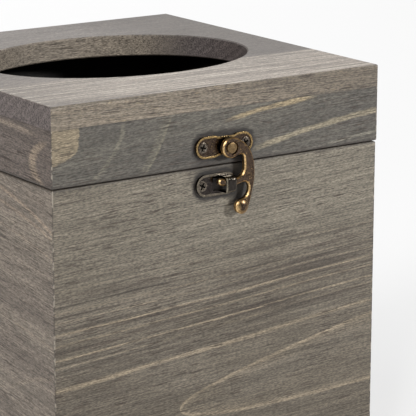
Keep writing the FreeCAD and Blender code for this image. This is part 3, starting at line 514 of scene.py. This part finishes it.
def rail_left_marks(tree, axes, place):
    """The left rail: the tan outline of a ring near the corner, and a streak along its top."""
    y, z = axes.outputs["Y"], axes.outputs["Z"]
    ragged = grain(tree, place, "Y", 24, 0.006, 0.0015)
    rough_y = add_node(tree, "Math", [ragged, 0.0022, y], operation="MULTIPLY_ADD")
    drop = add_node(tree, "Math", [0.1800, z], operation="SUBTRACT")
    ring_curve, streak_curve = (-0.0610, 0.0, -110.0), (0.1932, 0.0350, 0.0)
    ring = stroke(tree, drop, rough_y, ring_curve, 0.0034, (-0.010, 0.009), 0.85, 0.003)
    streak = stroke(tree, y, z, streak_curve, 0.0013, (-0.066, -0.020), 0.7)
    return [(ring, "#938371"), (streak, "#877a6c"), inside(tree, axes)]


LID_CORNER = 0.076
BOARD_SEAM = 0.1940
rail_seams = [(LID_SEAM, 0.0013, 0.8), (BOARD_SEAM, 0.0004, 0.35)]
top_pine = stained_pine("stained_pine_top", "X", ("#67605a", "#726b65"), 8.0, top_marks)
rail_front_pine = stained_pine("stained_pine_rail_front", "X", ("#4f4b45", "#58544c"), 9.0,
                               rail_front_marks, LID_CORNER, (0, 0.05, 0), rail_seams)
rail_left_pine = stained_pine("stained_pine_rail_left", "Y", ("#60564f", "#6c625b"), 10.0,
                              rail_left_marks, LID_CORNER, (-0.05, 0, 0), rail_seams)
rail_back_pine = stained_pine("stained_pine_rail_back", "X", ("#68625b", "#757068"), 11.0,
                              plain_marks, LID_CORNER, FRONT_TILT, rail_seams)
rail_right_pine = stained_pine("stained_pine_rail_right", "Y", ("#6a635c", "#777068"), 12.0,
                               plain_marks, LID_CORNER, (0.04, 0, 0), rail_seams)
dress(top_pine, "lid_top_board")
dress(rail_front_pine, "lid_front_rail")
dress(rail_left_pine, "lid_left_rail")
dress(rail_back_pine, "lid_back_rail")
dress(rail_right_pine, "lid_right_rail")


# The latch is a small swing hook: a waisted plate with a pressed rim screwed to the lid, a hook
# that turns on a rivet through it, and a catch plate on the case. All are zinc castings plated
# in antique bronze, dark in the hollows and rubbed back to gold on every proud edge.

def metal_shader(name, tone, roughness):
    """Plated metal with a mottled patina that is duller where it is lighter. The real mottle is
    finer than the eye can part here, so it is drawn coarser, at about 0.8 mm."""
    material, tree, shader = new_material(name)
    place = add_node(tree, "TexCoord").outputs["Object"]
    colour = tone(tree, place)
    mottle = add_node(tree, "TexNoise", {"Vector": place, "Scale": 1300, "Detail": 4})
    plug(tree, shaded_by(tree, colour, mottle, (0.35, 0.6), (0.65, 1.3)), shader, "Base Color")
    dull = add_node(tree, "MapRange", [mottle, 0, 1, roughness - 0.08, roughness + 0.12])
    plug(tree, dull, shader, "Roughness")
    bump = add_node(tree, "Bump", {"Height": mottle, "Strength": 0.2, "Distance": 0.00005})
    plug(tree, bump, shader, "Normal")
    shader.inputs["Metallic"].default_value = 1.0
    return material


LEFT_EDGE_HIGHLIGHT = "#e0bd88"


def rubbed_by_lean(front, crest, side, rim=None):
    """Patina on the flat front, bright metal on the rounded edges that hands rub, brown sides, and
    without a rim a painted highlight on faces turned to the left. A raised rim, given by its level
    along Y, is rubbed bright on its crest alone, and what stands out before the rim is the pressed
    bridge, grey on its bevels and dark on its face."""
    def tone(tree, place):
        ways = facing(tree)
        scuff = add_node(tree, "TexNoise", {"Vector": place, "Scale": 1700, "Detail": 3})
        lean = add_node(tree, "Math", [ways["Y"]], operation="ABSOLUTE")
        lean = add_node(tree, "Math", [scuff, -0.05, lean], operation="MULTIPLY_ADD")
        rubbed = crest if rim is None else front
        colour = add_node(tree, "ValToRGB", [lean], [
            (0.1, stain(side)), (0.45, stain(rubbed)), (0.72, stain(rubbed)), (0.95, stain(front))])
        if rim is None:
            # Faces turned to the left get a painted highlight.
            painted_left_highlight = add_node(tree, "MapRange", [ways["X"], -0.2, -0.7, 0, 0.8])
            colour = laid_over(tree, colour, (painted_left_highlight, LEFT_EDGE_HIGHLIGHT))
        gilt = add_node(tree, "MapRange", [scuff, 0.60, 0.68, 0, 0.5])
        colour = laid_over(tree, colour, (gilt, crest))
        if rim is None:
            return colour
        level = add_node(tree, "SeparateXYZ", {"Vector": place}).outputs["Y"]
        proud = add_node(tree, "MapRange", [level, rim + 0.00014, rim + 0.00003])
        below = add_node(tree, "Math", [level, rim - 0.0001], operation="GREATER_THAN")
        flat = add_node(tree, "MapRange", [lean, 0.35, 0.7])
        for share in (below, flat):
            proud = add_node(tree, "Math", [proud, share], operation="MULTIPLY")
        bridge = add_node(tree, "Math", [level, rim - 0.0004], operation="LESS_THAN")
        bridge_tone = add_node(tree, "ValToRGB", [lean], [
            (0.2, stain(side)), (0.62, stain("#807869")), (0.95, stain("#322e2b"))])
        return laid_over(tree, colour, (proud, crest), (bridge, bridge_tone))
    return tone


HOOK_PLATE_RIM = -0.077
CATCH_PLATE_RIM = -0.0767
hook_bronze = metal_shader("antique_bronze_hook",
                           rubbed_by_lean("#453930", "#bb9765", "#4a3828"), 0.30)
plate_bronze = metal_shader("antique_bronze_plate",
                            rubbed_by_lean("#3a3029", "#806b49", "#3c2f22", HOOK_PLATE_RIM), 0.24)
gunmetal = metal_shader("dark_gunmetal_catch",
                        rubbed_by_lean("#2d2927", "#5f584e", "#2c2926", CATCH_PLATE_RIM), 0.20)


def round_edges(piece, width, segments, sharpest, smoothest):
    """Bevels the edges sharper than one angle and shades it smooth below another, in degrees."""
    soft = piece.modifiers.new("soft", "BEVEL")
    soft.width = width
    soft.segments = segments
    soft.limit_method = "ANGLE"
    soft.angle_limit = math.radians(sharpest)
    bpy.ops.object.modifier_apply(modifier="soft")
    bpy.ops.object.shade_smooth_by_angle(angle=math.radians(smoothest))


def hand_over(piece, material, body, node):
    """Gives a finished piece its material and its body, and hides the node it stands for."""
    piece.data.materials.clear()
    piece.data.materials.append(material)
    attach(piece, body)
    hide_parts(node)


def softened_copy(name, node, width, material, body):
    """A welded copy of a casting with its edges rounded, shaded smooth but flat on its faces."""
    piece = bpy.data.objects.new(name, nodes[node].data.copy())
    bpy.context.scene.collection.objects.link(piece)
    bpy.ops.object.select_all(action="DESELECT")
    bpy.context.view_layer.objects.active = piece
    piece.select_set(True)
    bpy.ops.object.mode_set(mode="EDIT")
    bpy.ops.mesh.select_all(action="SELECT")
    bpy.ops.mesh.remove_doubles(threshold=0.000001)
    bpy.ops.mesh.dissolve_limited(angle_limit=math.radians(1))
    bpy.ops.object.mode_set(mode="OBJECT")
    round_edges(piece, width, 3, 30, 60)
    flat = piece.modifiers.new("flat", "WEIGHTED_NORMAL")
    flat.keep_sharp = True
    bpy.ops.object.modifier_apply(modifier="flat")
    hand_over(piece, material, body, node)


softened_copy("swing_hook", "latch_hook", 0.00015, hook_bronze, "latch_hook")
softened_copy("rimmed_hook_plate", "hook_plate", 0.00042, plate_bronze, "lid")
softened_copy("rimmed_catch_plate", "catch_plate", 0.00042, gunmetal, "case")


# The rivet is turned from bar in the latch's bronze: a shank, a shoulder and a head with a
# rounded rim and a slight dome. Fingers rub its head, so it is lighter than the hook round it.

PIVOT = (0.0022, 0.1788)
rivet_bronze = metal_shader("antique_bronze_rivet",
                            rubbed_by_lean("#6e5b41", "#b59662", "#4c3a28"), 0.34)


def select_faces(piece, wanted):
    """Selects, for the next operator, the faces of the edited mesh that wanted(face) picks."""
    mesh = bmesh.from_edit_mesh(piece.data)
    for face in mesh.faces:
        face.select_set(wanted(face))
    mesh.select_flush_mode()
    bmesh.update_edit_mesh(piece.data)


def draw_out(step):
    """Extrudes the selected faces along Y, in metres."""
    bpy.ops.mesh.extrude_region_move(TRANSFORM_OT_translate={"value": (0, step, 0)})


def turned_bar(name, x, z, radius, back, front, sides=40):
    """A round bar along Y between two levels, in metres, left in edit mode."""
    bpy.ops.object.select_all(action="DESELECT")
    bpy.ops.mesh.primitive_cylinder_add(
        vertices=sides, radius=radius, depth=abs(back - front),
        location=(x, (back + front) / 2, z), rotation=(math.pi / 2, 0, 0))
    piece = bpy.context.object
    piece.name = name
    bpy.ops.object.transform_apply(location=True, rotation=True, scale=True)
    bpy.ops.object.mode_set(mode="EDIT")
    return piece


def finish_piece(piece, bevel, material, body, node):
    """Leaves edit mode, bevels the sharp edges, shades the piece soft and hands it over."""
    bpy.ops.object.mode_set(mode="OBJECT")
    bpy.context.view_layer.objects.active = piece
    round_edges(piece, bevel, 2, 35, 40)
    hand_over(piece, material, body, node)


HEAD_RADIUS = 0.0021
low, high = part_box("pivot_rivet")
rivet = turned_bar("rivet", *PIVOT, HEAD_RADIUS, low.y + 0.0009, low.y + 0.0002)
select_faces(rivet, lambda face: face.normal.y < -0.9)
for inset, dome in ((0.0006, 0.00012), (0.0007, 0.00006)):
    bpy.ops.mesh.inset(thickness=inset)
    bpy.ops.transform.translate(value=(0, -dome, 0))
select_faces(rivet, lambda face: face.normal.y > 0.9)
bpy.ops.mesh.inset(thickness=0.0006)
draw_out(0.00155)
bpy.ops.transform.resize(value=(1.33, 1, 1.33))
draw_out(0.0009)
bpy.ops.mesh.inset(thickness=0.0005)
draw_out(0.0093)
finish_piece(rivet, 0.00012, rivet_bronze, "lid", "pivot_rivet")


# Screws: small pan heads with a cross recess, pressed from steel wire, zinc plated and
# tarnished dark. Their rims carry a painted highlight, and the cross is painted near black as
# shade.

def screw_metal(name, level, way):
    """Steel that is bright on the head, painted near black as shade down in the cross below a
    level, with a painted highlight round its rim.
    """
    def tone(tree, place):
        depth = add_node(tree, "SeparateXYZ", {"Vector": place}).outputs["Y"]
        height = add_node(tree, "MapRange", [depth, level + way * 0.0004, level])
        worn = add_node(tree, "TexNoise", {"Vector": place, "Scale": 900, "Detail": 1})
        height = add_node(tree, "Math", [worn, -0.3, height], operation="MULTIPLY_ADD")
        # Below the crown the head goes near black: painted shade down in the cross.
        colour = add_node(tree, "ValToRGB", [height], [
            (0.1, stain("#0f0d0b")), (0.35, stain("#1d1916")),
            (0.52, stain("#544c44")), (0.74, stain("#a89f91"))])
        # A painted highlight round the rim.
        lean = add_node(tree, "Math", [facing(tree)["Y"]], operation="ABSOLUTE")
        rim = add_node(tree, "MapRange", [lean, 0.97, 0.8])
        proud = add_node(tree, "MapRange", [height, 0.3, 0.5])
        rim = add_node(tree, "Math", [rim, proud], operation="MULTIPLY")
        return laid_over(tree, colour, (rim, "#e2d8c6"))
    return metal_shader(name, tone, 0.26)


def cross_head(name, x, z, seat, front, head, shank, depth, turn):
    """One screw. Levels run along Y; its cross is cut by two crossed bars."""
    inwards = 1 if front < seat else -1
    screw = turned_bar(name, x, z, head, seat, front, 32)
    select_faces(screw, lambda face: face.normal.y * inwards < -0.9)
    bpy.ops.mesh.inset(thickness=head * 0.25)
    bpy.ops.transform.translate(value=(0, -inwards * 0.00012, 0))
    select_faces(screw, lambda face: face.normal.y * inwards > 0.9)
    bpy.ops.mesh.inset(thickness=head - shank)
    draw_out(inwards * depth)
    bpy.ops.object.mode_set(mode="OBJECT")
    for angle in (turn, turn + math.pi / 2):
        bpy.ops.object.select_all(action="DESELECT")
        bpy.ops.mesh.primitive_cube_add(size=1, location=(x, front, z), rotation=(0, angle, 0),
                                        scale=(head * 1.45, 0.0010, head * 0.36))
        bar = bpy.context.object
        bpy.context.view_layer.objects.active = screw
        slot_cut = screw.modifiers.new("cross", "BOOLEAN")
        slot_cut.operation = "DIFFERENCE"
        slot_cut.object = bar
        bpy.ops.object.modifier_apply(modifier="cross")
        bpy.data.objects.remove(bar)
    return screw


LATCH_HEAD = 0.00205


def latch_screw(name, x, z, front, turn):
    """A screw of the latch, with its head's crown at a level along Y."""
    seat, rim = front + 0.00065, front + 0.00013
    return cross_head(name, x, z, seat, rim, LATCH_HEAD, 0.0011, 0.007, turn)


def screw_set(name, node, body, screws, level, way=1):
    """Joins a set of screws into the piece that stands for their shared node."""
    bpy.ops.object.select_all(action="DESELECT")
    for screw in screws:
        screw.select_set(True)
    bpy.context.view_layer.objects.active = screws[0]
    if len(screws) > 1:
        bpy.ops.object.join()
    screws[0].name = name
    steel = screw_metal("tarnished_steel_" + name, level, way)
    finish_piece(screws[0], 0.00006, steel, body, node)


low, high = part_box("hook_plate_screws")
plate_screws = [latch_screw("plate_screw", x, (low.z + high.z) / 2, low.y, turn)
                for x, turn in ((low.x + LATCH_HEAD, 0.4), (high.x - LATCH_HEAD, 1.1))]
screw_set("plate_screws", "hook_plate_screws", "lid", plate_screws, low.y)
low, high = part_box("catch_screw")
catch_screws = [latch_screw("catch_screw_head", (low.x + high.x) / 2, (low.z + high.z) / 2,
                            low.y, 0.5)]
screw_set("catch_screw_piece", "catch_screw", "case", catch_screws, low.y)


# Two butt hinges on the back, stamped and rolled from sheet, in the latch's bronze with darker
# patches. Each has four of the same small screws, two in each leaf.

def hinge_tone(tree, place):
    """Brown bronze with golden patches about 4 mm across, where it is worn."""
    wear = add_node(tree, "TexNoise", {"Vector": place, "Scale": 260, "Detail": 4})
    return add_node(tree, "ValToRGB", [wear], [(0.36, stain("#4b3826")), (0.62, stain("#94724a"))])


hinge_bronze = metal_shader("antique_bronze_hinge", hinge_tone, 0.34)
for side in ("left", "right"):
    dress(hinge_bronze, "hinge_%s_case_leaf" % side, "hinge_%s_lid_leaf" % side,
          "hinge_%s_pin" % side)

HINGE_HEAD = 0.0017
SCREWS_APART = 0.012
for node, body in (("case_hinge_screws", "case"), ("lid_hinge_screws", "lid")):
    low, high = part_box(node)
    left, right = low.x + HINGE_HEAD, high.x - HINGE_HEAD
    hinge_screws = [
        cross_head("hinge_screw", x, (low.z + high.z) / 2, high.y - 0.0003, high.y - 0.0001,
                   HINGE_HEAD, 0.0009, 0.0068, 0.3 + i)
        for i, x in enumerate((left, left + SCREWS_APART, right - SCREWS_APART, right))]
    screw_set(node + "_piece", node, body, hinge_screws, high.y, -1)


# The drawer knob is turned brass in the same bronze, held by a screw from inside the drawer. It
# has a round foot, a thin neck and a full, rounded front.

low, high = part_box("drawer_knob")
middle = ((low.x + high.x) / 2, 0, (low.z + high.z) / 2)
knob = turned_bar("knob", middle[0], middle[2], 0.0046, high.y, high.y - 0.0012, 48)
select_faces(knob, lambda face: face.normal.y < -0.9)
for step, factor in ((0.0006, 0.72), (0.0012, 0.78), (0.0022, 1.0), (0.0015, 1.5), (0.0016, 1.5),
                     (0.0014, 1.10), (0.0014, 0.94), (0.0012, 0.80), (0.0006, 0.62)):
    draw_out(-step)
    bpy.ops.transform.resize(value=(factor, 1, factor), center_override=middle)
finish_piece(knob, 0.0002, hinge_bronze, "drawer", "drawer_knob")
dress(hinge_bronze, "drawer_knob_screw")


# The studio: a pale floor, a wide soft light above and behind, a small key light from the right
# and two weaker lights from the left, and the photograph's camera.

bpy.ops.object.select_all(action="DESELECT")
bpy.ops.mesh.primitive_plane_add(size=12, location=(0, 2, -0.0002))
floor = bpy.context.object
floor.name = "floor"
floor_paint, _, floor_shader = new_material("floor_paint")
floor_shader.inputs["Base Color"].default_value = grey(0.66)
floor_shader.inputs["Roughness"].default_value = 0.8
floor.data.materials.append(floor_paint)

scene = bpy.context.scene
scene.view_settings.view_transform = "Standard"
world = bpy.data.worlds.new("studio")
world.use_nodes = True
sky = world.node_tree.nodes["Background"]
sky.inputs["Color"].default_value = grey(1)
sky.inputs["Strength"].default_value = 0.10
scene.world = world


def softbox(name, place, aim, width, height, power):
    """A flat lamp of that size in metres and power in watts, turned to face a point."""
    light = bpy.data.lights.new(name, "AREA")
    light.shape = "RECTANGLE"
    light.size = width
    light.size_y = height
    light.energy = power
    box = bpy.data.objects.new(name, light)
    box.location = place
    box.rotation_euler = (Vector(aim) - Vector(place)).to_track_quat("-Z", "Y").to_euler()
    scene.collection.objects.link(box)


softbox("overhead", (0.8, 1.7, 2.3), (0.45, 0.9, 0), 2.6, 2.6, 98)
softbox("key", (1.05, -1.30, 0.75), (0, -0.07, 0.16), 0.25, 0.25, 23)
softbox("upper_strip", (-0.9, -1.1, 1.3), (0, -0.08, 0.17), 0.08, 0.5, 6)
softbox("left_fill", (-1.5, -0.55, 0.95), (0, 0, 0.13), 0.4, 0.4, 16.5)

# The camera's place and angles were fitted to the straight edges of the box in the photograph.
camera_data = bpy.data.cameras.new("camera")
camera_data.lens = 199.4
camera_data.sensor_width = 36
camera_data.clip_end = 50
camera = bpy.data.objects.new("camera", camera_data)
yaw, pitch, roll = math.radians(34.80), math.radians(14.08), math.radians(0.10)
forward = Vector((math.sin(yaw) * math.cos(pitch), math.cos(yaw) * math.cos(pitch),
                  -math.sin(pitch)))
sideways = Vector((math.cos(yaw), -math.sin(yaw), 0))
upward = sideways.cross(forward)
right = math.cos(roll) * sideways + math.sin(roll) * upward
up = math.cos(roll) * upward - math.sin(roll) * sideways
camera.matrix_world = Matrix((right, up, -forward)).transposed().to_4x4()
camera.matrix_world.translation = (-0.496584, -0.78128, 0.37096)
scene.collection.objects.link(camera)
scene.camera = camera

bpy.context.view_layer.update()
